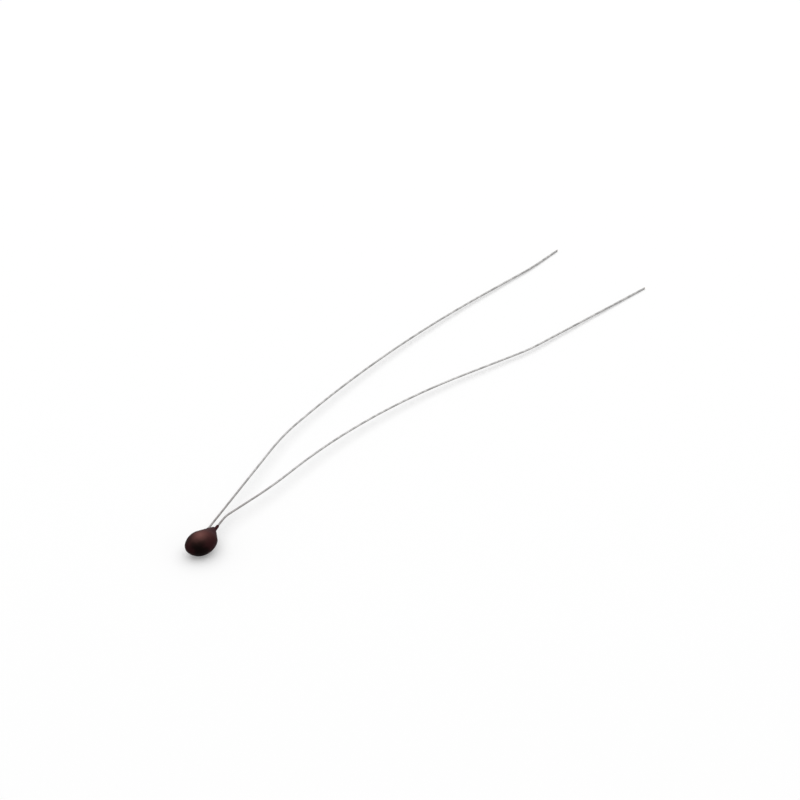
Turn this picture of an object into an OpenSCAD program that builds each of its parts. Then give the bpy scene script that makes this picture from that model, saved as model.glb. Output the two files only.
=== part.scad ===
// Bead thermistor: a ceramic chip with two soldered wire leads, dipped in epoxy.
// Millimetres, +Z up. It lies on z = 0, on the belly of its bead and on its two cut lead ends.
// The origin is under the middle of the bead, and +X runs out from the bead between the lead ends.

/* [Bead] */
// Diameter of the bead at its widest
bead_d = 2.4; // [2:0.1:5]
// How much longer than half a ball the blunt end is
nose_stretch = 0.4; // [0:0.05:2]
// How much longer than half a ball the lead end is
tail_stretch = 0.5; // [0:0.05:2]
// Radius of the two end caps, as a share of the bead's radius
cap_share = 0.7; // [0.4:0.05:0.9]
// Angle between the bead's long axis and the leads, seen from above
bead_skew = 35; // [0:1:40]

/* [Coat on the leads] */
// How far the coat creeps up the left lead from the bead's skin
collar_left_l = 0.7; // [0.3:0.05:2]
// How far the coat creeps up the right lead from the bead's skin
collar_right_l = 1.45; // [0.3:0.05:2]
// How far the web of coat between the leads reaches from the bead's skin
web_l = 1.15; // [0.6:0.05:1.5]
// Angle between the web and the leads, seen from above
web_lean = 6; // [4:1:15]
// Radius of the foot of the web inside the bead, as a share of the bead's radius
web_share = 0.83; // [0.5:0.01:0.85]
// Thickness of the coat on a wire at the end of its collar
collar_t = 0.02; // [0.01:0.01:0.1]
// Thickness of the coat around a wire at the foot of its collar
collar_foot_t = 0.4; // [0.2:0.05:0.5]
// How deep the feet of the collars lie under the bead's skin
foot_depth = 0.6; // [0.3:0.05:0.8]

/* [Chip] */
// Width and height of the square chip
chip_w = 0.8; // [0.4:0.05:1.1]
// Thickness of the chip between its two metallised faces
chip_t = 0.38; // [0.2:0.02:0.8]
// Thickness of the metal on each face
electrode_t = 0.02; // [0.01:0.005:0.05]

/* [Solder] */
// Thickness of the solder around the wire
solder_t = 0.08; // [0.04:0.01:0.15]
// Film of solder between the wire and the metallised face
solder_film = 0.01; // [0.005:0.005:0.03]
// Distance from the ends of a solder joint to the edges of the chip
solder_margin = 0.04; // [0.02:0.01:0.1]

/* [Leads] */
// Diameter of the lead wire
lead_d = 0.2; // [0.15:0.01:0.5]
// Length of the left lead beyond the coat
lead_left_l = 60.3; // [20:0.1:120]
// Length of the right lead beyond the coat
lead_right_l = 60; // [20:0.1:120]
// Angle at which the leads leave the bead, to the left of +X
lead_heading = 16.5; // [-20:0.5:30]
// Straight stretch of wire between the coat and the bend that sets the lead down
exit_l = 0.15; // [0.05:0.05:1]
// Radius of the bend that sets the lead down
set_down_r = 10; // [2:0.5:30]

/* [Hidden] */
$fn = 200;

// Bends left in each lead by handling. Each row is where the bend starts and ends,
// as shares of the lead's free length, and the degrees that it turns to the left.
left_bends = [[0.22, 0.31, -10], [0.33, 0.81, -11.5], [0.9, 0.95, 5.5]];
right_bends = [[0.015, 0.033, -18], [0.09, 0.17, 5.5], [0.19, 0.58, -19.5], [0.69, 0.74, 8.5]];

// A ball closes each joint in a wire and the end of the web, and is wider than they are by this factor
seam = 1.01;

bead_r = bead_d / 2;
cap_r = bead_r * cap_share;
lead_r = lead_d / 2;
solder_r = lead_r + solder_t;
wire_y = chip_t / 2 + electrode_t + solder_film + lead_r;
wire_start = -chip_w / 2 + solder_margin + solder_t;
solder_l = chip_w - 2 * solder_margin;

// The bead's half outline is an arc that swells to the bead's radius, and a round cap that
// meets the arc smoothly. The cap's middle lies this far along the axis, and the arc has this radius.
function cap_at(stretch) = bead_r + stretch - cap_r;
function swell_r(stretch) = (pow(cap_at(stretch), 2) + bead_r * bead_r - cap_r * cap_r)
    / (2 * (bead_r - cap_r));
function meet_at(stretch) = cap_at(stretch) * swell_r(stretch) / (swell_r(stretch) - cap_r);
function meet_r(stretch) = sqrt(cap_r * cap_r - pow(meet_at(stretch) - cap_at(stretch), 2));

// Distance from the bead's middle to its skin, along the leads
tail_drop = swell_r(tail_stretch) - bead_r;
skin_on_cap = cap_at(tail_stretch) * cos(bead_skew)
    + sqrt(max(0, cap_r * cap_r - pow(cap_at(tail_stretch) * sin(bead_skew), 2)));
skin_on_swell = sqrt(pow(tail_drop * sin(bead_skew), 2) + pow(swell_r(tail_stretch), 2)
    - tail_drop * tail_drop) - tail_drop * sin(bead_skew);
on_cap = bead_skew < atan2(meet_r(tail_stretch), meet_at(tail_stretch));
skin_at = on_cap ? skin_on_cap : skin_on_swell;
foot_at = skin_at - foot_depth;
collar_left_end = skin_at + collar_left_l;
collar_right_end = skin_at + collar_right_l;
web_end = skin_at + web_l;

// The web springs from half a radius off the bead's middle and ends as a ball between the wires
web_foot_at = bead_r / 2;
web_foot_r = bead_r * web_share;
web_end_r = wire_y - lead_r / 2;
web_ball_at = web_end - web_end_r;

// Each lead runs straight until it is clear of the coat
left_root_end = max(collar_left_end, web_end) + exit_l;
right_root_end = max(collar_right_end, web_end) + exit_l;

// A lead of free length l: its heading after bend i, the share at which bend i ends,
// the straight run before bend i, the radius of bend i, and the straight tail after the last bend
function turn(bends, i) = i < 0 ? 0 : bends[i][2] + turn(bends, i - 1);
function bend_end(bends, i) = i < 0 ? 0 : bends[i][1];
function run_l(bends, i, l) = (bends[i][0] - bend_end(bends, i - 1)) * l;
function bend_r(bends, i, l) = (bends[i][1] - bends[i][0]) * l / (abs(bends[i][2]) * PI / 180);
function tail_l(bends, l) = (1 - bend_end(bends, len(bends) - 1)) * l;

// How far a lead reaches along its first direction, from bend i on
function reach(bends, l, i = 0) = i == len(bends)
    ? tail_l(bends, l) * cos(turn(bends, i - 1))
    : run_l(bends, i, l) * cos(turn(bends, i - 1))
        + bend_r(bends, i, l) * sign(bends[i][2]) * (sin(turn(bends, i)) - sin(turn(bends, i - 1)))
        + reach(bends, l, i + 1);

// Angle of the bend that brings the cut end of a lead down to z = 0
function set_down(bends, l) =
    let (far = reach(bends, l), span = norm([far, set_down_r]))
    atan2(set_down_r, far) + asin((bead_r - lead_r - set_down_r) / span);

// Puts what is drawn around +Z onto the line along which the leads leave the bead
module along_leads(y = 0) {
    translate([0, 0, bead_r]) rotate([0, 0, lead_heading]) translate([0, y, 0]) children();
}

// Half of the bead around +Z, from its widest section at z = 0 up to its end
module half_bead(stretch) {
    rotate_extrude() {
        intersection() {
            translate([bead_r - swell_r(stretch), 0]) circle(r = swell_r(stretch));
            square([bead_r, meet_at(stretch)]);
        }
        intersection() {
            translate([0, cap_at(stretch)]) circle(r = cap_r);
            translate([0, cap_at(stretch) / 2]) square([cap_r, bead_r + stretch]);
        }
    }
}

// A hollow-sided cone around +Z that narrows to end_r
module flare(foot_r, end_r, foot, end) {
    drop = foot_r - end_r;
    sweep_r = (pow(end - foot, 2) + drop * drop) / (2 * drop);
    rotate_extrude() difference() {
        translate([0, foot]) square([foot_r, end - foot]);
        translate([end_r + sweep_r, end]) circle(r = sweep_r);
    }
}

// The web of coat between the leads, around +Z
module web() {
    translate([0, 0, web_foot_at]) cylinder(r1 = web_foot_r, r2 = web_end_r, h = web_ball_at - web_foot_at);
    translate([0, 0, web_ball_at]) sphere(r = web_end_r * seam);
}

// A stretch of wire along +Z, closed by a seam ball
module wire_run(l) {
    cylinder(r = lead_r, h = l);
    translate([0, 0, l]) sphere(r = lead_r * seam);
}

// Bends the wire towards +X turned by roll around +Z, and draws what follows at the end of the bend
module wire_bend(angle, radius, roll) {
    rotate([0, 0, roll]) translate([radius, 0, 0]) {
        rotate([90, 0, 180]) rotate_extrude(angle = angle) translate([radius, 0]) circle(r = lead_r);
        rotate([0, angle, 0]) translate([-radius, 0, 0]) {
            sphere(r = lead_r * seam);
            rotate([0, 0, -roll]) children();
        }
    }
}

// The free wire along +Z, with its bends from bend i on
module bent_wire(bends, l, i = 0) {
    if (i == len(bends)) {
        cylinder(r = lead_r, h = tail_l(bends, l));
    } else {
        wire_run(run_l(bends, i, l));
        translate([0, 0, run_l(bends, i, l)])
            wire_bend(abs(bends[i][2]), bend_r(bends, i, l), bends[i][2] > 0 ? 90 : -90)
                bent_wire(bends, l, i + 1);
    }
}

// A whole lead: straight through the solder and the coat, then set down and out to its cut end
module lead(side, root_end, bends, l) {
    root_l = root_end - wire_start;
    along_leads(side * wire_y) rotate([0, 90, 0]) translate([0, 0, wire_start]) {
        wire_run(root_l);
        translate([0, 0, root_l]) wire_bend(set_down(bends, l), set_down_r, 0) bent_wire(bends, l);
    }
}

// The straight root of a lead, from its end on the chip until it is clear of the coat
module lead_root(side, root_end) {
    along_leads(side * wire_y) rotate([0, 90, 0]) translate([0, 0, wire_start])
        cylinder(r = lead_r, h = root_end - wire_start);
}

// Metal on one face of the chip
module electrode(side) {
    along_leads(side * (chip_t + electrode_t) / 2) cube([chip_w, electrode_t, chip_w], center = true);
}

// Solder around the end of one wire, flat where it wets the metallised face
module solder_blob(side) {
    face_y = chip_t / 2 + electrode_t;
    along_leads() intersection() {
        translate([0, side * wire_y, 0]) rotate([0, 90, 0]) rotate_extrude() intersection() {
            union() {
                translate([0, solder_r - solder_l / 2]) square([solder_r, solder_l - 2 * solder_r]);
                translate([0, solder_l / 2 - solder_r]) circle(r = solder_r);
                translate([0, solder_r - solder_l / 2]) circle(r = solder_r);
            }
            translate([0, -solder_l / 2]) square([solder_r, solder_l]);
        }
        translate([-chip_w / 2, side > 0 ? face_y : -face_y - bead_r, -chip_w / 2])
            cube([chip_w, bead_r, chip_w]);
    }
}

module solder(side, root_end) {
    difference() {
        solder_blob(side);
        lead_root(side, root_end);
    }
}

module ceramic_chip() {
    color("dimgray") along_leads() cube([chip_w, chip_t, chip_w], center = true);
}

module left_electrode() {
    color("gainsboro") electrode(1);
}

module right_electrode() {
    color("gainsboro") electrode(-1);
}

module left_solder() {
    color("darkgray") solder(1, left_root_end);
}

module right_solder() {
    color("darkgray") solder(-1, right_root_end);
}

module left_lead() {
    color("silver") lead(1, left_root_end, left_bends, lead_left_l);
}

module right_lead() {
    color("silver") lead(-1, right_root_end, right_bends, lead_right_l);
}

// The dipped coat, closed around everything inside it
module epoxy_coat() {
    color([0.24, 0.14, 0.13]) difference() {
        union() {
            translate([0, 0, bead_r]) rotate([0, 0, lead_heading - bead_skew]) {
                rotate([0, 90, 0]) half_bead(tail_stretch);
                rotate([0, -90, 0]) half_bead(nose_stretch);
            }
            along_leads(wire_y) rotate([0, 90, 0])
                flare(lead_r + collar_foot_t, lead_r + collar_t, foot_at, collar_left_end);
            along_leads(-wire_y) rotate([0, 90, 0])
                flare(lead_r + collar_foot_t, lead_r + collar_t, foot_at, collar_right_end);
            along_leads() rotate([0, 0, -web_lean]) rotate([0, 90, 0]) web();
        }
        ceramic_chip();
        electrode(1);
        electrode(-1);
        solder_blob(1);
        solder_blob(-1);
        lead_root(1, left_root_end);
        lead_root(-1, right_root_end);
    }
}

epoxy_coat();
ceramic_chip();
left_electrode();
right_electrode();
left_solder();
right_solder();
left_lead();
right_lead();
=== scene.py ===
"""Looks of a bead thermistor: an epoxy-dipped bead on two bare tinned wires, on a white table.

The part's sizes are in millimetres, in its own frame. Meshes are scaled to metres when they are done, and
the sizes in materials are scaled as they are set. The stage, its camera and its lamp are in metres.
"""

import math

import bmesh
import bpy
import numpy as np
from mathutils import Matrix, Vector, noise


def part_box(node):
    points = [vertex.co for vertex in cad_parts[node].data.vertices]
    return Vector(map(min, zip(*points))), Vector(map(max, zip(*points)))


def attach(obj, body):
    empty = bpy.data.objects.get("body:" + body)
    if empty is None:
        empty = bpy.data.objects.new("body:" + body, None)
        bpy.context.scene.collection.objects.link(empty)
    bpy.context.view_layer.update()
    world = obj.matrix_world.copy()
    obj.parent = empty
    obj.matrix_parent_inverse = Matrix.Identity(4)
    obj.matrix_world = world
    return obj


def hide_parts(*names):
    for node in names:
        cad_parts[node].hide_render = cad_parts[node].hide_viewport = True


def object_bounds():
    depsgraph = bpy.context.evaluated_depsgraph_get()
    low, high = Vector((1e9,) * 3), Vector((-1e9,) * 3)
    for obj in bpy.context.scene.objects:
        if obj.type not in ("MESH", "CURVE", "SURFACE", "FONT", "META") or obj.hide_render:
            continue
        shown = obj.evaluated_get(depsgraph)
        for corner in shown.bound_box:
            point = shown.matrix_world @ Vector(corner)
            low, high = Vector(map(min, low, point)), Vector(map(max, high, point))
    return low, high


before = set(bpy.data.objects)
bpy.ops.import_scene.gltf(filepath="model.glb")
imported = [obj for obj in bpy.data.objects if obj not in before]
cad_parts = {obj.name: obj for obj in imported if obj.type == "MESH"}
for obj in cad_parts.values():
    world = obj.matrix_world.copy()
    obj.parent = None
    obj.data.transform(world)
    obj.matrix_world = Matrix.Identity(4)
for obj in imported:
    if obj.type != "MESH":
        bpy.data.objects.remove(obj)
cad_low, cad_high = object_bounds()

# A millimetre in metres, and how near two points of a mesh are to count as one
MM = 0.001
SAME_POINT = 1e-5

# Bead: the coat's height gives its radius. Its ends are longer than half a ball, with rounded caps.
coat_low, coat_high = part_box("epoxy_coat")
BEAD_R = (coat_high.z - coat_low.z) / 2 / MM
NOSE_STRETCH = 0.4
TAIL_STRETCH = 0.5
CAP_R = 0.7 * BEAD_R
LEAD_HEADING = math.radians(16.5)
BEAD_SKEW = math.radians(35)

# Wires: their radius, their distance from the line between them, and where they start on the chip.
# Each leaves the coat straight for a little way, is set down by a large bend and then runs free.
WIRE_R = 0.1
WIRE_Y = 0.32
WIRE_START = -0.28
EXIT_L = 0.15
SET_DOWN_R = 10
LEFT_FREE_L = 60.3
RIGHT_FREE_L = 60.0

# Bends of each wire: where a bend starts and ends, as shares of the free length, and its degrees to the left
LEFT_BENDS = [(0.22, 0.31, -10), (0.33, 0.81, -11.5), (0.9, 0.95, 5.5)]
RIGHT_BENDS = [(0.015, 0.033, -18), (0.09, 0.17, 5.5), (0.19, 0.58, -19.5), (0.69, 0.74, 8.5)]


def egg_arc(stretch):
    """Where the cap of half the bead has its middle, and the radius of the arc that swells up to it."""
    cap_at = BEAD_R + stretch - CAP_R
    return cap_at, (cap_at**2 + BEAD_R**2 - CAP_R**2) / (2 * (BEAD_R - CAP_R))


def skin_along_leads():
    """Distance from the bead's middle to its skin along the wires, which leave through the swelling arc."""
    swell_r = egg_arc(TAIL_STRETCH)[1]
    drop = swell_r - BEAD_R
    aside = drop * math.sin(BEAD_SKEW)
    return math.sqrt(aside**2 + swell_r**2 - drop**2) - aside


# Coat on the wires: how far its collars and the web between the wires reach, and how thick they are
SKIN_AT = skin_along_leads()
LEFT_COLLAR_END = SKIN_AT + 0.7
RIGHT_COLLAR_END = SKIN_AT + 1.45
COLLAR_FOOT_AT = SKIN_AT - 0.6
COLLAR_FOOT_R = WIRE_R + 0.4
COLLAR_END_R = WIRE_R + 0.055
COLLAR_LIP = 0.22
WEB_END = SKIN_AT + 1.15
WEB_END_R = WIRE_Y - WIRE_R / 2
WEB_LEAN = math.radians(4)


# Meshes


def level_way(heading):
    return np.array((math.cos(heading), math.sin(heading), 0))


def smooth_step(low, high, x):
    t = np.clip((np.asarray(x, float) - low) / (high - low), 0, 1)
    return t * t * (3 - 2 * t)


def taken(shape, name):
    """A bmesh as a named mesh. The bmesh is freed."""
    mesh = bpy.data.meshes.new(name)
    shape.to_mesh(mesh)
    shape.free()
    return mesh


def mesh_object(name, mesh):
    """An object for a mesh drawn in millimetres, smooth all over and scaled to metres."""
    mesh.transform(Matrix.Scale(MM, 4))
    mesh.shade_smooth()
    piece = bpy.data.objects.new(name, mesh)
    bpy.context.scene.collection.objects.link(piece)
    return piece


def modified(mesh, kind, **settings):
    """A mesh after one modifier has worked on it."""
    piece = bpy.data.objects.new(mesh.name, mesh)
    bpy.context.scene.collection.objects.link(piece)
    modifier = piece.modifiers.new(kind, kind)
    for key, value in settings.items():
        setattr(modifier, key, value)
    seen = piece.evaluated_get(bpy.context.evaluated_depsgraph_get())
    done = bpy.data.meshes.new_from_object(seen)
    bpy.data.objects.remove(piece)
    return done


def positions(mesh):
    co = np.empty(len(mesh.vertices) * 3, np.float32)
    mesh.vertices.foreach_get("co", co)
    return co.reshape(-1, 3).astype(float)


def set_positions(mesh, points):
    mesh.vertices.foreach_set("co", points.astype(np.float32).ravel())
    mesh.update()


def normals(mesh):
    return np.array([v.normal for v in mesh.vertices])


def point_values(mesh, name, values):
    """Keeps one number or one vector for each vertex, for the mesh's material to read."""
    values = np.asarray(values, np.float32)
    kind, field = ("FLOAT", "value") if values.ndim == 1 else ("FLOAT_VECTOR", "vector")
    mesh.attributes.new(name, kind, "POINT").data.foreach_set(field, values.ravel())


# Epoxy coat

# How finely the coat's forms are turned and joined into one skin, and how much that skin is smoothed
OUTLINE_STEPS = 40
LATHE_STEPS = 96
VOXEL = 0.025
SOFTENING = 0.5
SKIN_PASSES = 10
FILLET_PASSES = 120

# Lumps and ripples of the set coat, which fade out where the coat runs up the wires
LUMP_SIZE = 0.9
LUMP_HEIGHT = 0.014
RIPPLE_SIZE = 0.3
RIPPLE_HEIGHT = 0.004
LUMPS_FADE_FROM = SKIN_AT - 0.2
LUMPS_FADE_TO = SKIN_AT + 0.3


def half_egg(stretch):
    """Outline of half the bead as (distance along its axis, radius), from its widest section to its end."""
    cap_at, swell_r = egg_arc(stretch)
    meet = math.atan2(cap_at, swell_r - BEAD_R)
    swell = [(swell_r * math.sin(t), swell_r * math.cos(t) - swell_r + BEAD_R)
             for t in np.linspace(0, meet, OUTLINE_STEPS)]
    cap = [(cap_at + CAP_R * math.sin(t), CAP_R * math.cos(t))
           for t in np.linspace(meet, math.pi / 2, OUTLINE_STEPS)]
    return swell + cap[1:-1] + [(cap_at + CAP_R, 0)]


def whole_egg():
    """Outline of the bead without its web."""
    nose = [(-along, radius) for along, radius in reversed(half_egg(NOSE_STRETCH))]
    return nose + half_egg(TAIL_STRETCH)[1:]


def ball(at, radius):
    """Outline of a ball whose middle is at a distance along the axis."""
    turns = np.linspace(math.pi, 0, OUTLINE_STEPS)[1:-1]
    round_side = [(at + radius * math.cos(t), radius * math.sin(t)) for t in turns]
    return [(at - radius, 0)] + round_side + [(at + radius, 0)]


def collar(end):
    """Outline of a collar: a hollow-sided cone that narrows along the wire and closes with a rounded lip."""
    drop = COLLAR_FOOT_R - COLLAR_END_R
    length = end - COLLAR_FOOT_AT
    sweep_r = (length**2 + drop**2) / (2 * drop)
    sweep = [(end - sweep_r * math.sin(t), COLLAR_END_R + sweep_r * (1 - math.cos(t)))
             for t in np.linspace(math.asin(length / sweep_r), 0, OUTLINE_STEPS)]
    turns = np.linspace(0, math.pi / 2, OUTLINE_STEPS)[1:-1]
    lip = [(end + COLLAR_LIP * math.sin(t), COLLAR_END_R * math.cos(t)) for t in turns]
    return [(COLLAR_FOOT_AT, 0)] + sweep + lip + [(end + COLLAR_LIP, 0)]


def lathe(shape, outline, place):
    """Turns an outline around the X axis and adds it to a bmesh at a place."""
    before = len(shape.verts)
    points = [shape.verts.new((along, radius, 0)) for along, radius in outline]
    edges = [shape.edges.new(pair) for pair in zip(points, points[1:])]
    bmesh.ops.spin(shape, geom=points + edges, axis=(1, 0, 0), cent=(0, 0, 0),
                   angle=2 * math.pi, steps=LATHE_STEPS, use_merge=True)
    bmesh.ops.transform(shape, matrix=place, verts=list(shape.verts)[before:])


def along_leads(y=0.0):
    """The place whose X axis is the line along which the wires leave the bead."""
    return (Matrix.Translation((0, 0, BEAD_R)) @ Matrix.Rotation(LEAD_HEADING, 4, "Z")
            @ Matrix.Translation((0, y, 0)))


def bead_mesh():
    """The bead: a skin drawn tight over the egg and the end of the web between the wires."""
    shape = bmesh.new()
    egg_place = along_leads() @ Matrix.Rotation(-BEAD_SKEW, 4, "Z")
    web_place = along_leads() @ Matrix.Rotation(-WEB_LEAN, 4, "Z")
    lathe(shape, whole_egg(), egg_place)
    lathe(shape, ball(WEB_END - WEB_END_R, WEB_END_R), web_place)
    skin = bmesh.ops.convex_hull(shape, input=shape.verts)
    bmesh.ops.delete(shape, geom=skin["geom_interior"], context="VERTS")
    return taken(shape, "bead")


def coat_forms():
    """The bead and the two collars on the wires, as closed forms that overlap."""
    shape = bmesh.new()
    for y, end in ((WIRE_Y, LEFT_COLLAR_END), (-WIRE_Y, RIGHT_COLLAR_END)):
        lathe(shape, collar(end), along_leads(y))
    shape.from_mesh(bead_mesh())
    bmesh.ops.remove_doubles(shape, verts=shape.verts, dist=SAME_POINT)
    bmesh.ops.recalc_face_normals(shape, faces=shape.faces)
    return taken(shape, "coat_forms")


def fill_hollows(mesh):
    """Rounds the inner corners between the forms. Smoothing counts only where it adds to the coat."""
    points = positions(mesh)
    out = normals(mesh)
    soft = modified(mesh.copy(), "SMOOTH", factor=SOFTENING, iterations=FILLET_PASSES)
    rise = np.sum((positions(soft) - points) * out, axis=1)
    set_positions(mesh, points + out * np.maximum(rise, 0)[:, None])


def add_lumps(mesh):
    """The dipped coat never sets quite even: low lumps and finer ripples, within the part's box."""
    points = positions(mesh)
    height = np.array([LUMP_HEIGHT * noise.noise(Vector(p) / LUMP_SIZE)
                       + RIPPLE_HEIGHT * noise.noise(Vector(p) / RIPPLE_SIZE) for p in points])
    height *= 1 - smooth_step(LUMPS_FADE_FROM, LUMPS_FADE_TO, points @ level_way(LEAD_HEADING))
    moved = points + normals(mesh) * height[:, None]
    set_positions(mesh, np.clip(moved, np.array(cad_low) / MM, np.array(cad_high) / MM))


def build_coat():
    one_skin = modified(coat_forms(), "REMESH", mode="VOXEL", voxel_size=VOXEL)
    mesh = modified(one_skin, "SMOOTH", factor=SOFTENING, iterations=SKIN_PASSES)
    mesh.name = "coat"
    fill_hollows(mesh)
    add_lumps(mesh)
    return mesh_object("dipped_coat", mesh)


# Wires

# Rings of a wire: the points around each, the longest step between two, and the fewest steps in a stretch
RING_POINTS = 24
RING_STEP = 0.2
FEWEST_STEPS = 2

# Unevenness of a wire: waves in its tin, and slight waves in its line from handling
TIN_WAVE_L = 1.1
TIN_WAVE = 0.04
HAND_WAVE_L = 6.0
HAND_WAVE = 0.0025

# Rows of the noise that the waves follow. The first number changes its sign for the right wire.
TIN_ROW = (3.0, 5.0)
ASIDE_ROW = (7.0, 0.0)
LIFT_ROW = (7.0, 9.0)

# The cut end: how far the cutter's jaws pinched it, and what they left of its width and took of its height
PINCH_L = 0.16
PINCH_RINGS = 8
PINCH_WIDTH_LEFT = 0.16
PINCH_HEIGHT_LOST = 0.08

# How far from the coat the flux has tarnished the tin
TARNISH_L = 14.0


def walk(stand, stretches):
    """Follows (length, axis of the turn, turn) from a stand whose +X points along the wire."""
    stands = [stand]
    for length, axis, turn in stretches:
        steps = max(FEWEST_STEPS, math.ceil(length / RING_STEP))
        half_turn = Matrix.Rotation(turn / steps / 2, 4, axis)
        step = half_turn @ Matrix.Translation((length / steps, 0, 0)) @ half_turn
        for _ in range(steps):
            stand = stand @ step
            stands.append(stand)
    return stands


def bent_stretches(bends, free_l):
    """The runs and bends of the free wire, as walk() takes them."""
    stretches = []
    at = 0.0
    for start, end, degrees in bends:
        stretches.append(((start - at) * free_l, "Z", 0.0))
        stretches.append(((end - start) * free_l, "Z", math.radians(degrees)))
        at = end
    return stretches + [((1 - at) * free_l, "Z", 0.0)]


def set_down_angle(stretches):
    """The turn that brings the wire's cut end down to the table."""
    far = walk(Matrix.Identity(4), stretches)[-1].translation.x
    drop = BEAD_R - WIRE_R
    return math.atan2(SET_DOWN_R, far) + math.asin((drop - SET_DOWN_R) / math.hypot(far, SET_DOWN_R))


def lead_stands(side, collar_end, bends, free_l):
    """Stands along a whole lead: straight until clear of the coat, set down, and out to its cut end."""
    free = bent_stretches(bends, free_l)
    down = set_down_angle(free)
    start = along_leads(side * WIRE_Y) @ Matrix.Translation((WIRE_START, 0, 0))
    root_l = max(collar_end, WEB_END) + EXIT_L - WIRE_START
    return walk(start, [(root_l, "Z", 0.0), (SET_DOWN_R * down, "Y", down)] + free)


def lead_rings(stands):
    """The wire's rings as (distance from its start, stand). The pinched end has rings of its own."""
    steps = [(b.translation - a.translation).length for a, b in zip(stands, stands[1:])]
    along = np.concatenate([[0.0], np.cumsum(steps)])
    end = along[-1]
    rings = [(at, stand) for at, stand in zip(along, stands) if at < end - PINCH_L]
    pinched = [(at, stands[-1] @ Matrix.Translation((at - end, 0, 0)))
               for at in np.linspace(end - PINCH_L, end, PINCH_RINGS)]
    return rings + pinched


def wave(at, length, side, row):
    """A smooth wave along a wire, between -1 and 1."""
    return noise.noise((at / length, side * row[0], row[1]))


def skin_over(shape, loops):
    """Closes a tube over rings of vertices, with a face at each end."""
    for here, there in zip(loops, loops[1:]):
        for k in range(RING_POINTS):
            n = (k + 1) % RING_POINTS
            shape.faces.new((here[k], there[k], there[n], here[n]))
    shape.faces.new(loops[0])
    shape.faces.new(reversed(loops[-1]))
    bmesh.ops.recalc_face_normals(shape, faces=shape.faces)


def build_lead(name, side, collar_end, bends, free_l):
    """A lead with an uneven tin skin and a pinched, cut end. side is 1 on the left and -1 on the right."""
    rings = lead_rings(lead_stands(side, collar_end, bends, free_l))
    end = rings[-1][0]
    bare_from = collar_end - WIRE_START
    bare_l = end - bare_from

    shape = bmesh.new()
    straight, tarnish, cut, loops = [], [], [], []
    for at, stand in rings:
        free = max(0.0, at - bare_from)
        sway = HAND_WAVE * math.sin(math.pi * min(1.0, free / bare_l))
        aside = sway * wave(at, HAND_WAVE_L, side, ASIDE_ROW)
        lift = sway * wave(at, HAND_WAVE_L, side, LIFT_ROW)
        radius = WIRE_R * (1 - TIN_WAVE * (0.5 + 0.5 * wave(at, TIN_WAVE_L, side, TIN_ROW)))
        pinch = float(smooth_step(end - PINCH_L, end, at))
        half_width = radius * (1 - (1 - PINCH_WIDTH_LEFT) * pinch)
        half_height = radius * (1 - PINCH_HEIGHT_LOST * pinch)
        loop = []
        for k in range(RING_POINTS):
            turn = 2 * math.pi * k / RING_POINTS
            y = half_width * math.cos(turn) + aside
            z = half_height * math.sin(turn) + lift
            loop.append(shape.verts.new(stand @ Vector((0, y, z))))
            straight.append((radius * math.cos(turn), radius * math.sin(turn), at))
            tarnish.append(1 - float(smooth_step(0, TARNISH_L, free)))
            cut.append(pinch)
        loops.append(loop)
    skin_over(shape, loops)

    mesh = taken(shape, name)
    point_values(mesh, "straight_wire", np.array(straight) * MM)
    point_values(mesh, "tarnish", tarnish)
    point_values(mesh, "cut", cut)
    return mesh_object(name, mesh)


# Solder

SHARP_EDGE = math.radians(35)


def build_solder(node):
    """The solder in its CAD form, as a closed mesh without slivers of no area."""
    shape = bmesh.new()
    shape.from_mesh(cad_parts[node].data)
    bmesh.ops.scale(shape, vec=Vector((1, 1, 1)) / MM, verts=shape.verts)
    bmesh.ops.remove_doubles(shape, verts=shape.verts, dist=SAME_POINT)
    bmesh.ops.dissolve_degenerate(shape, edges=shape.edges, dist=SAME_POINT)
    piece = mesh_object(node + "_joint", taken(shape, node + "_joint"))
    piece.data.set_sharp_from_angle(angle=SHARP_EDGE)
    return piece


# Nodes


def add(tree, kind, inputs=None, **settings):
    """Adds a node. inputs maps its input names or numbers to sockets to link or to plain values."""
    node = tree.nodes.new("ShaderNode" + kind)
    for key, value in settings.items():
        setattr(node, key, value)
    for key, value in (inputs or {}).items():
        if isinstance(value, bpy.types.NodeSocket):
            tree.links.new(value, node.inputs[key])
        else:
            node.inputs[key].default_value = value
    return node


def math_node(tree, operation, a, b=0.0):
    return add(tree, "Math", {0: a, 1: b}, operation=operation).outputs[0]


def mixed_colour(tree, factor, a, b):
    return add(tree, "Mix", {"Factor": factor, 6: a, 7: b}, data_type="RGBA").outputs[2]


def mapped(tree, value, low, high, to_low=0.0, to_high=1.0, kind="SMOOTHSTEP"):
    node = add(tree, "MapRange", {"Value": value, "From Min": low, "From Max": high,
                                  "To Min": to_low, "To Max": to_high}, interpolation_type=kind)
    return node.outputs["Result"]


def in_units(tree, vector, size):
    """A vector measured in units of a size, so that a noise of scale 1 has features of that size."""
    each_way = add(tree, "CombineXYZ", {0: size, 1: size, 2: size}).outputs[0]
    return add(tree, "VectorMath", {0: vector, 1: each_way}, operation="DIVIDE").outputs[0]


def noise_value(tree, vector, detail=2.0, rough=0.5, scale=1.0):
    return add(tree, "TexNoise", {"Vector": vector, "Scale": scale, "Detail": detail,
                                  "Roughness": rough}).outputs["Fac"]


def dot_product(tree, a, b):
    return add(tree, "VectorMath", {0: a, 1: b}, operation="DOT_PRODUCT").outputs["Value"]


# Node groups

# A pit's floor and its rim, as distances from its middle in pit sizes
PIT_FLOOR, PIT_RIM = 0.05, 0.28

# The noise at which a surface starts to be smudged and is wholly smudged
SMUDGE_FROM, SMUDGE_TO = 0.35, 0.65

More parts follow.
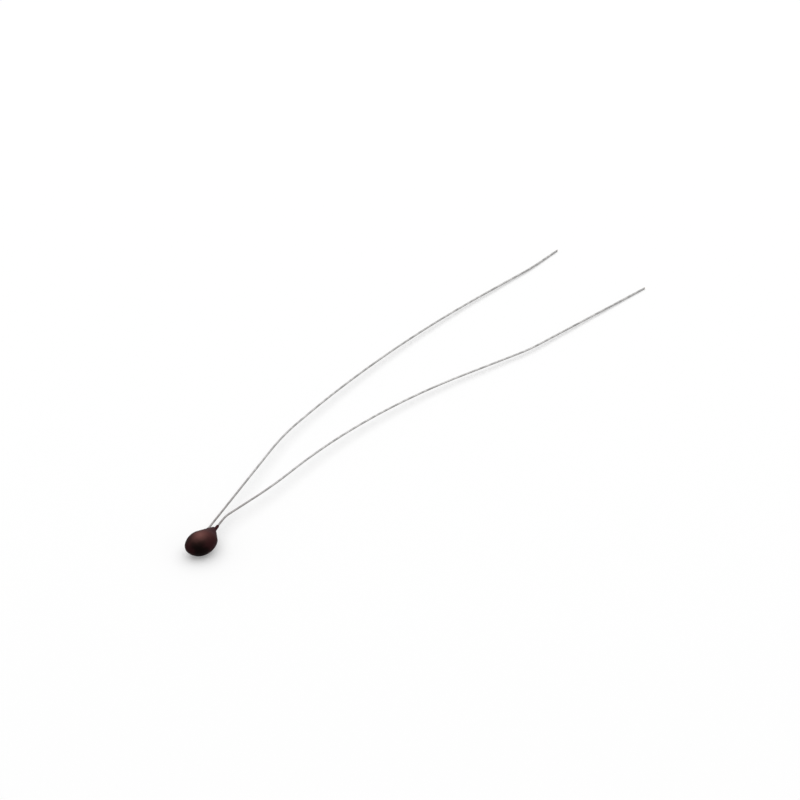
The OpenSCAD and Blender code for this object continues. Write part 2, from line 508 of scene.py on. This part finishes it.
# Mottled metal: how much its broad patches count beside its specks, how fine the specks are, and the
# noise at which it starts to be dull and is wholly dull
BROAD_SHARE = 0.65
SPECK_FINENESS = 6.0
DULL_FROM, DULL_TO = 0.38, 0.62


def new_group(name, inputs, outputs):
    """An empty node group with its sockets: inputs as name: (kind, default), outputs as name: kind."""
    group = bpy.data.node_groups.new(name, "ShaderNodeTree")
    for key, (kind, default) in inputs.items():
        socket = group.interface.new_socket(name=key, in_out="INPUT", socket_type="NodeSocket" + kind)
        if default is not None:
            socket.default_value = default
    for key, kind in outputs.items():
        group.interface.new_socket(name=key, in_out="OUTPUT", socket_type="NodeSocket" + kind)
    return group, group.nodes.new("NodeGroupInput").outputs, group.nodes.new("NodeGroupOutput").inputs


def fine_relief_group():
    """Skin of a coating or a fired body: a soft peel with small pits in it."""
    group, given, out = new_group(
        "Fine Relief",
        {"Vector": ("Vector", None), "Peel Size": ("Float", 0.2 * MM), "Pit Size": ("Float", 0.3 * MM),
         "Pit Share": ("Float", 0.2)},
        {"Height": "Float", "Pits": "Float"})
    peel = noise_value(group, in_units(group, given["Vector"], given["Peel Size"]), detail=3.0)
    cells = add(group, "TexVoronoi", {"Vector": in_units(group, given["Vector"], given["Pit Size"]),
                                      "Scale": 1.0}, feature="F1").outputs
    cell_draw = add(group, "SeparateColor", {0: cells["Color"]}).outputs[0]
    chosen = math_node(group, "LESS_THAN", cell_draw, given["Pit Share"])
    hole = mapped(group, cells["Distance"], PIT_FLOOR, PIT_RIM, 1.0, 0.0)
    pits = math_node(group, "MULTIPLY", hole, chosen)
    group.links.new(math_node(group, "SUBTRACT", peel, pits), out["Height"])
    group.links.new(pits, out["Pits"])
    return group


def painted_highlight_group():
    """Painted highlight on the side that faces a given way, mostly up, in uneven patches."""
    group, given, out = new_group(
        "Painted Top Highlight",
        {"Vector": ("Vector", None), "Up": ("Vector", (0, 0, 1)), "Patch Size": ("Float", 0.5 * MM),
         "Unevenness": ("Float", 0.2), "Focus": ("Float", 4.0)},
        {"Mask": "Float"})
    up = dot_product(group, add(group, "NewGeometry").outputs["Normal"], given["Up"])
    patches = noise_value(group, in_units(group, given["Vector"], given["Patch Size"]), detail=3.0)
    shift = math_node(group, "MULTIPLY", math_node(group, "SUBTRACT", patches, 0.5), given["Unevenness"])
    facing = math_node(group, "MAXIMUM", math_node(group, "ADD", up, shift), 0.0)
    group.links.new(math_node(group, "POWER", facing, given["Focus"]), out["Mask"])
    return group


def handling_smudge_group():
    """Roughness of a surface that fingers and tweezers have touched."""
    group, given, out = new_group(
        "Handling Smudges",
        {"Vector": ("Vector", None), "Smudge Size": ("Float", 1.0 * MM), "Clean": ("Float", 0.3),
         "Smudged": ("Float", 0.5)},
        {"Roughness": "Float"})
    where = in_units(group, given["Vector"], given["Smudge Size"])
    spread = mapped(group, noise_value(group, where, detail=4.0, rough=0.6), SMUDGE_FROM, SMUDGE_TO)
    rough = add(group, "Mix", {"Factor": spread, 2: given["Clean"], 3: given["Smudged"]}).outputs[0]
    group.links.new(rough, out["Roughness"])
    return group


def metal_mottle_group():
    """Dull and bright patches of soft metal that has met air and flux."""
    group, given, out = new_group(
        "Metal Mottle",
        {"Vector": ("Vector", None), "Patch Size": ("Float", 1.0 * MM),
         "Bright": ("Color", (0.8, 0.8, 0.8, 1)), "Dull": ("Color", (0.5, 0.5, 0.5, 1))},
        {"Color": "Color"})
    where = in_units(group, given["Vector"], given["Patch Size"])
    broad = noise_value(group, where, detail=2.0)
    specks = noise_value(group, where, detail=5.0, rough=0.7, scale=SPECK_FINENESS)
    both = math_node(group, "ADD", math_node(group, "MULTIPLY", broad, BROAD_SHARE),
                     math_node(group, "MULTIPLY", specks, 1 - BROAD_SHARE))
    dullness = mapped(group, both, DULL_FROM, DULL_TO)
    group.links.new(mixed_colour(group, dullness, given["Bright"], given["Dull"]), out["Color"])
    return group


FINE_RELIEF = fine_relief_group()
PAINTED_HIGHLIGHT = painted_highlight_group()
HANDLING_SMUDGES = handling_smudge_group()
METAL_MOTTLE = metal_mottle_group()


# Materials


def new_material(name, **constants):
    """A material with one Principled shader, whose plain values are given by socket name."""
    material = bpy.data.materials.new(name)
    material.use_nodes = True
    tree = material.node_tree
    shader = tree.nodes["Principled BSDF"]
    for key, value in constants.items():
        shader.inputs[key.replace("_", " ")].default_value = value
    return material, tree, shader


def place_group(tree, group, inputs):
    return add(tree, "Group", inputs, node_tree=group).outputs


def feed(tree, shader, **sockets):
    """Links sockets to a shader's inputs, which are given by name."""
    for key, socket in sockets.items():
        tree.links.new(socket, shader.inputs[key.replace("_", " ")])


def bump(tree, height, distance):
    return add(tree, "Bump", {"Height": height, "Distance": distance, "Strength": 1.0}).outputs["Normal"]


def stored(tree, name):
    return add(tree, "Attribute", attribute_name=name).outputs


def object_place(tree):
    return add(tree, "TexCoord").outputs["Object"]


def millimetres_along(tree, heading):
    """How far a point of the part lies from the bead's middle along a level line with this heading."""
    return dot_product(tree, object_place(tree), level_way(heading) / MM)


# Epoxy: its dark colour in the middle of the bead, the lighter colour of its ends where light on the flanks
# is painted, the painted highlight on top, the brighter flecks painted into it, the colour at the neck, its
# sheen, and how deep its peel is
EPOXY_DARK_MIDDLE = (0.008, 0.0052, 0.005, 1)
EPOXY_LIT_ENDS = (0.04, 0.0135, 0.0145, 1)
# Colour of the painted highlight on top of the bead
EPOXY_PAINTED_HIGHLIGHT = (0.176, 0.0735, 0.066, 1)
EPOXY_HIGHLIGHT_FLECK = (0.2, 0.09, 0.075, 1)
EPOXY_NECK = (0.029, 0.006, 0.009, 1)
EPOXY_SHEEN = 0.02
EPOXY_SHEEN_TINT = (1.0, 0.5, 0.45, 1)
EPOXY_PEEL = 0.006

# The colour is darkest at a place along the bead and lighter on both sides of it, which paints light on the
# bead's flanks, with an uneven border. The border follows a noise, most of which lies between a low and a
# high value.
DARKEST_AT = -0.55
LIGHTENS_FROM, LIGHTENS_TO = 0.2, 1.3
BORDER_WAVE_L = 0.9
BORDER_WAVE = 0.4
NOISE_LOW, NOISE_HIGH = 0.2, 0.8

# The painted highlight on top: the way it faces, tilted a little from straight up, its patches, how tightly
# it gathers there, and how it fades along the bead to what remains of it at the wires
PAINTED_HIGHLIGHT_WAY = (0.039, -0.124, 0.9915)
PAINTED_HIGHLIGHT_PATCH = 0.6
PAINTED_HIGHLIGHT_UNEVENNESS = 0.1
PAINTED_HIGHLIGHT_FOCUS = 6.0
PAINTED_HIGHLIGHT_FADES_FROM, PAINTED_HIGHLIGHT_FADES_TO = -0.4, 0.9
PAINTED_HIGHLIGHT_AT_WIRES = 0.35

# Brighter flecks painted into the highlight: their size, the noise at which they start to show and show
# wholly, and their strength
FLECK_SIZE = 0.04
FLECK_FROM, FLECK_TO = 0.66, 0.74
FLECK_STRENGTH = 0.35

# The neck: where its colour sets in and is full along the wires, and its strength
NECK_FROM = SKIN_AT - 1.0
NECK_TO = SKIN_AT + 0.1
NECK_STRENGTH = 0.8


def epoxy_material():
    """Brown dipping epoxy: nearly black in the middle, browner towards its ends where light on the flanks is
    painted, with a painted soft highlight on top.
    """
    material, tree, shader = new_material("brown_epoxy", IOR=1.5, Specular_IOR_Level=EPOXY_SHEEN,
                                          Specular_Tint=EPOXY_SHEEN_TINT)
    place = object_place(tree)
    relief = place_group(tree, FINE_RELIEF, {"Vector": place, "Peel Size": 0.12 * MM, "Pit Size": 0.22 * MM,
                                             "Pit Share": 0.12})
    smudge = place_group(tree, HANDLING_SMUDGES, {"Vector": place, "Smudge Size": 0.9 * MM, "Clean": 0.4,
                                                  "Smudged": 0.55})

    # Painted light on the flanks: darkest at one place along the bead and lighter towards both ends
    along_bead = millimetres_along(tree, LEAD_HEADING - BEAD_SKEW)
    from_darkest = math_node(tree, "ABSOLUTE", math_node(tree, "SUBTRACT", along_bead, DARKEST_AT))
    border_noise = noise_value(tree, in_units(tree, place, BORDER_WAVE_L * MM), detail=1.0)
    shift = mapped(tree, border_noise, NOISE_LOW, NOISE_HIGH, -BORDER_WAVE, BORDER_WAVE)
    flank_light = mapped(tree, math_node(tree, "ADD", from_darkest, shift), LIGHTENS_FROM, LIGHTENS_TO)
    colour = mixed_colour(tree, flank_light, EPOXY_DARK_MIDDLE, EPOXY_LIT_ENDS)

    # The painted highlight on top fades towards the wires, and has fine brighter flecks painted in it
    top_highlight = place_group(tree, PAINTED_HIGHLIGHT, {"Vector": place, "Up": PAINTED_HIGHLIGHT_WAY,
                                                "Patch Size": PAINTED_HIGHLIGHT_PATCH * MM,
                                                "Unevenness": PAINTED_HIGHLIGHT_UNEVENNESS, "Focus": PAINTED_HIGHLIGHT_FOCUS})
    fade = mapped(tree, along_bead, PAINTED_HIGHLIGHT_FADES_FROM, PAINTED_HIGHLIGHT_FADES_TO, 1.0, PAINTED_HIGHLIGHT_AT_WIRES)
    painted_highlight = math_node(tree, "MULTIPLY", top_highlight["Mask"], fade)
    colour = mixed_colour(tree, painted_highlight, colour, EPOXY_PAINTED_HIGHLIGHT)
    # Brighter flecks painted into the highlight, stronger where it is strongest
    grain = noise_value(tree, in_units(tree, place, FLECK_SIZE * MM), detail=2.0)
    highlight_flecks = math_node(tree, "MULTIPLY", mapped(tree, grain, FLECK_FROM, FLECK_TO),
                       math_node(tree, "MULTIPLY", painted_highlight, FLECK_STRENGTH))
    colour = mixed_colour(tree, highlight_flecks, colour, EPOXY_HIGHLIGHT_FLECK)

    # The neck is a thin skin over the wires
    neck = mapped(tree, millimetres_along(tree, LEAD_HEADING), NECK_FROM, NECK_TO, 0.0, NECK_STRENGTH)
    colour = mixed_colour(tree, neck, colour, EPOXY_NECK)
    feed(tree, shader, Base_Color=colour, Roughness=smudge["Roughness"],
         Normal=bump(tree, relief["Height"], EPOXY_PEEL * MM))
    return material


# Tinned wire: its bright and dull tin, the tarnish that flux leaves in patches, and the copper at the cut
TIN_BRIGHT = (0.44, 0.43, 0.425, 1)
TIN_DULL = (0.26, 0.255, 0.25, 1)
FLUX_STAIN = (0.19, 0.17, 0.165, 1)
COPPER = (0.55, 0.27, 0.16, 1)
STAIN_PATCH = 1.1
STAIN_FROM, STAIN_TO = 0.2, 0.7
COPPER_FROM, COPPER_TO = 0.6, 0.95

# Lines that the drawing die left along the wire
DIE_LINE_W = 1 / 60
DIE_LINE_L = 2.0
DIE_LINE_DEPTH = 0.002


def wire_material():
    """Tinned copper wire: a drawn, mottled grey skin, tarnished by flux near the bead, copper at the cut."""
    material, tree, shader = new_material("tinned_wire", Metallic=1.0)
    straight = stored(tree, "straight_wire")["Vector"]
    mottle = place_group(tree, METAL_MOTTLE, {"Vector": straight, "Patch Size": 0.8 * MM,
                                              "Bright": TIN_BRIGHT, "Dull": TIN_DULL})
    smudge = place_group(tree, HANDLING_SMUDGES, {"Vector": straight, "Smudge Size": 2.5 * MM, "Clean": 0.28,
                                                  "Smudged": 0.46})
    line_size = np.array((DIE_LINE_W, DIE_LINE_W, DIE_LINE_L)) * MM
    drawn = add(tree, "VectorMath", {0: straight, 1: 1 / line_size}, operation="MULTIPLY").outputs[0]
    patches = noise_value(tree, in_units(tree, straight, STAIN_PATCH * MM), detail=3.0)
    stain = math_node(tree, "MULTIPLY", stored(tree, "tarnish")["Fac"],
                      mapped(tree, patches, STAIN_FROM, STAIN_TO))
    bare = mapped(tree, stored(tree, "cut")["Fac"], COPPER_FROM, COPPER_TO)
    colour = mixed_colour(tree, stain, mottle["Color"], FLUX_STAIN)
    colour = mixed_colour(tree, bare, colour, COPPER)
    feed(tree, shader, Base_Color=colour, Roughness=smudge["Roughness"],
         Normal=bump(tree, noise_value(tree, drawn, detail=2.0), DIE_LINE_DEPTH * MM))
    return material


# Fired oxide: its grey, the darker grey painted into its pits as shade, its sheen, and how deep its relief is
OXIDE_GREY = (0.035, 0.035, 0.04, 1)
OXIDE_PIT_SHADE = (0.012, 0.012, 0.014, 1)
OXIDE_SHEEN = 0.35
OXIDE_RELIEF = 0.002


def ceramic_material():
    """Fired oxide chip: dark grey, fine grained and matt."""
    material, tree, shader = new_material("oxide_ceramic", Specular_IOR_Level=OXIDE_SHEEN)
    place = object_place(tree)
    relief = place_group(tree, FINE_RELIEF, {"Vector": place, "Peel Size": 0.02 * MM, "Pit Size": 0.05 * MM,
                                             "Pit Share": 0.3})
    smudge = place_group(tree, HANDLING_SMUDGES, {"Vector": place, "Smudge Size": 0.2 * MM, "Clean": 0.55,
                                                  "Smudged": 0.75})
    # The pits are painted a darker grey, as painted shade in them
    feed(tree, shader, Base_Color=mixed_colour(tree, relief["Pits"], OXIDE_GREY, OXIDE_PIT_SHADE),
         Roughness=smudge["Roughness"], Normal=bump(tree, relief["Height"], OXIDE_RELIEF * MM))
    return material


# Soft metals: bright and dull colour, the size of their patches, and their roughness when clean and smudged
FIRED_SILVER = ((0.78, 0.76, 0.72, 1), (0.5, 0.48, 0.44, 1), 0.06, 0.3, 0.5)
TIN_SOLDER = ((0.62, 0.62, 0.63, 1), (0.38, 0.38, 0.4, 1), 0.1, 0.22, 0.4)

# What else is on them, in patch sizes
SMUDGE_PATCHES = 2
GRAIN_PATCHES = 0.25
PIT_PATCHES = 0.5
GRAIN_DEPTH = 0.02


def soft_metal_material(name, bright, dull, patch, clean, smudged):
    """Fired silver or solder: a mottled soft metal with a fine grain."""
    material, tree, shader = new_material(name, Metallic=1.0)
    place = object_place(tree)
    patch_size = patch * MM
    mottle = place_group(tree, METAL_MOTTLE, {"Vector": place, "Patch Size": patch_size, "Bright": bright,
                                              "Dull": dull})
    smudge = place_group(tree, HANDLING_SMUDGES, {"Vector": place, "Smudge Size": SMUDGE_PATCHES * patch_size,
                                                  "Clean": clean, "Smudged": smudged})
    grain = place_group(tree, FINE_RELIEF, {"Vector": place, "Peel Size": GRAIN_PATCHES * patch_size,
                                            "Pit Size": PIT_PATCHES * patch_size, "Pit Share": 0.1})
    feed(tree, shader, Base_Color=mottle["Color"], Roughness=smudge["Roughness"],
         Normal=bump(tree, grain["Height"], GRAIN_DEPTH * patch_size))
    return material


def seen_rays(tree):
    """1 for the rays that show the white surroundings: those of the camera, of gloss and through glass."""
    path = add(tree, "LightPath").outputs
    glossy = math_node(tree, "MAXIMUM", path["Is Camera Ray"], path["Is Glossy Ray"])
    return math_node(tree, "MAXIMUM", glossy, path["Is Transmission Ray"])


# Stage

WHITE = (1, 1, 1, 1)

# The camera looks down on the table from the photo's height and side, through a long lens
VIEW_AZIMUTH = math.radians(-50)
VIEW_ELEVATION = math.radians(36)
VIEW_DISTANCE = 0.33333
VIEW_TARGET = Vector((0.0308, 0.00143, 0.0))
LENS, SENSOR = 150, 36
CLIP_NEAR, CLIP_FAR = 0.01, 10

# The table shows its shadows up to a distance and is plain white from another. Under the part it glows a
# little as well, and it throws only a dim light back up.
TABLE_R = 2.5
TABLE_SIDES = 128
TABLE_NEAR, TABLE_FAR = 0.1, 0.3
TABLE_GLOW = 0.25
TABLE_BOUNCE = (0.25, 0.25, 0.25, 1)

# The softbox overhead, and the strength of the room's own light
LAMP_D = 1.6
LAMP_HEIGHT = 0.8
LAMP_POWER = 7.4
LAMP_LEAN = math.radians(8)
FILL = 0.42


def table_material():
    """White table that keeps the shadow near the object and runs out into plain white further off."""
    material = bpy.data.materials.new("white_table")
    material.use_nodes = True
    tree = material.node_tree
    tree.nodes.clear()
    seen = seen_rays(tree)
    lit = add(tree, "BsdfDiffuse", {"Color": mixed_colour(tree, seen, TABLE_BOUNCE, WHITE)})
    plain = add(tree, "Emission", {"Color": WHITE, "Strength": seen})
    distance = add(tree, "VectorMath", {0: object_place(tree)}, operation="LENGTH").outputs["Value"]
    far = mapped(tree, distance, TABLE_NEAR, TABLE_FAR, TABLE_GLOW, 1.0)
    surface = add(tree, "MixShader", {0: far, 1: lit.outputs[0], 2: plain.outputs[0]})
    tree.links.new(surface.outputs[0], tree.nodes.new("ShaderNodeOutputMaterial").inputs["Surface"])
    return material


def build_table():
    shape = bmesh.new()
    bmesh.ops.create_circle(shape, cap_ends=True, segments=TABLE_SIDES, radius=TABLE_R)
    mesh = taken(shape, "table")
    mesh.materials.append(table_material())
    table = bpy.data.objects.new("table", mesh)
    table.location = (VIEW_TARGET.x, VIEW_TARGET.y, cad_low.z)
    bpy.context.scene.collection.objects.link(table)


def build_camera():
    data = bpy.data.cameras.new("camera")
    data.lens = LENS
    data.sensor_width = SENSOR
    data.clip_start = CLIP_NEAR
    data.clip_end = CLIP_FAR
    camera = bpy.data.objects.new("camera", data)
    back = Vector((math.sin(VIEW_AZIMUTH) * math.cos(VIEW_ELEVATION),
                   -math.cos(VIEW_AZIMUTH) * math.cos(VIEW_ELEVATION), math.sin(VIEW_ELEVATION)))
    camera.location = VIEW_TARGET + back * VIEW_DISTANCE
    camera.rotation_euler = (-back).to_track_quat("-Z", "Y").to_euler()
    bpy.context.scene.collection.objects.link(camera)
    bpy.context.scene.camera = camera


def build_lamp():
    """One round softbox overhead, leaning a little to the far side of the table."""
    data = bpy.data.lights.new("softbox", "AREA")
    data.shape = "DISK"
    data.size = LAMP_D
    data.energy = LAMP_POWER
    lamp = bpy.data.objects.new("softbox", data)
    away = Vector((-math.sin(VIEW_AZIMUTH), math.cos(VIEW_AZIMUTH), 0))
    up = away * math.sin(LAMP_LEAN) + Vector((0, 0, math.cos(LAMP_LEAN)))
    lamp.location = VIEW_TARGET + up * LAMP_HEIGHT
    lamp.rotation_euler = up.to_track_quat("Z", "Y").to_euler()
    bpy.context.scene.collection.objects.link(lamp)


def build_world():
    """A white room, dimmer as a light than it is to look at."""
    world = bpy.data.worlds.new("white_room")
    world.use_nodes = True
    tree = world.node_tree
    background = tree.nodes["Background"]
    background.inputs["Color"].default_value = WHITE
    strength = mapped(tree, seen_rays(tree), 0, 1, FILL, 1.0, "LINEAR")
    tree.links.new(strength, background.inputs["Strength"])
    bpy.context.scene.world = world


# The part


def cover(piece, material):
    """A piece gets one material all over."""
    piece.data.materials.clear()
    piece.data.materials.append(material)


def dress(piece, material, node):
    """A piece gets its finish and stands for its CAD node."""
    cover(piece, material)
    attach(piece, "root")
    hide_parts(node)


def finish_node(node, material):
    """A CAD node that keeps its own shape gets its finish."""
    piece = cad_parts[node]
    cover(piece, material)


wire = wire_material()
dress(build_coat(), epoxy_material(), "epoxy_coat")
dress(build_lead("left_wire", 1, LEFT_COLLAR_END, LEFT_BENDS, LEFT_FREE_L),
      wire, "left_lead")
dress(build_lead("right_wire", -1, RIGHT_COLLAR_END, RIGHT_BENDS, RIGHT_FREE_L),
      wire, "right_lead")

finish_node("ceramic_chip", ceramic_material())
silver = soft_metal_material("fired_silver", *FIRED_SILVER)
solder = soft_metal_material("tin_solder", *TIN_SOLDER)
for side in ("left", "right"):
    finish_node(side + "_electrode", silver)
    dress(build_solder(side + "_solder"), solder, side + "_solder")

build_camera()
build_lamp()
build_world()
build_table()
bpy.context.scene.view_settings.view_transform = "Standard"
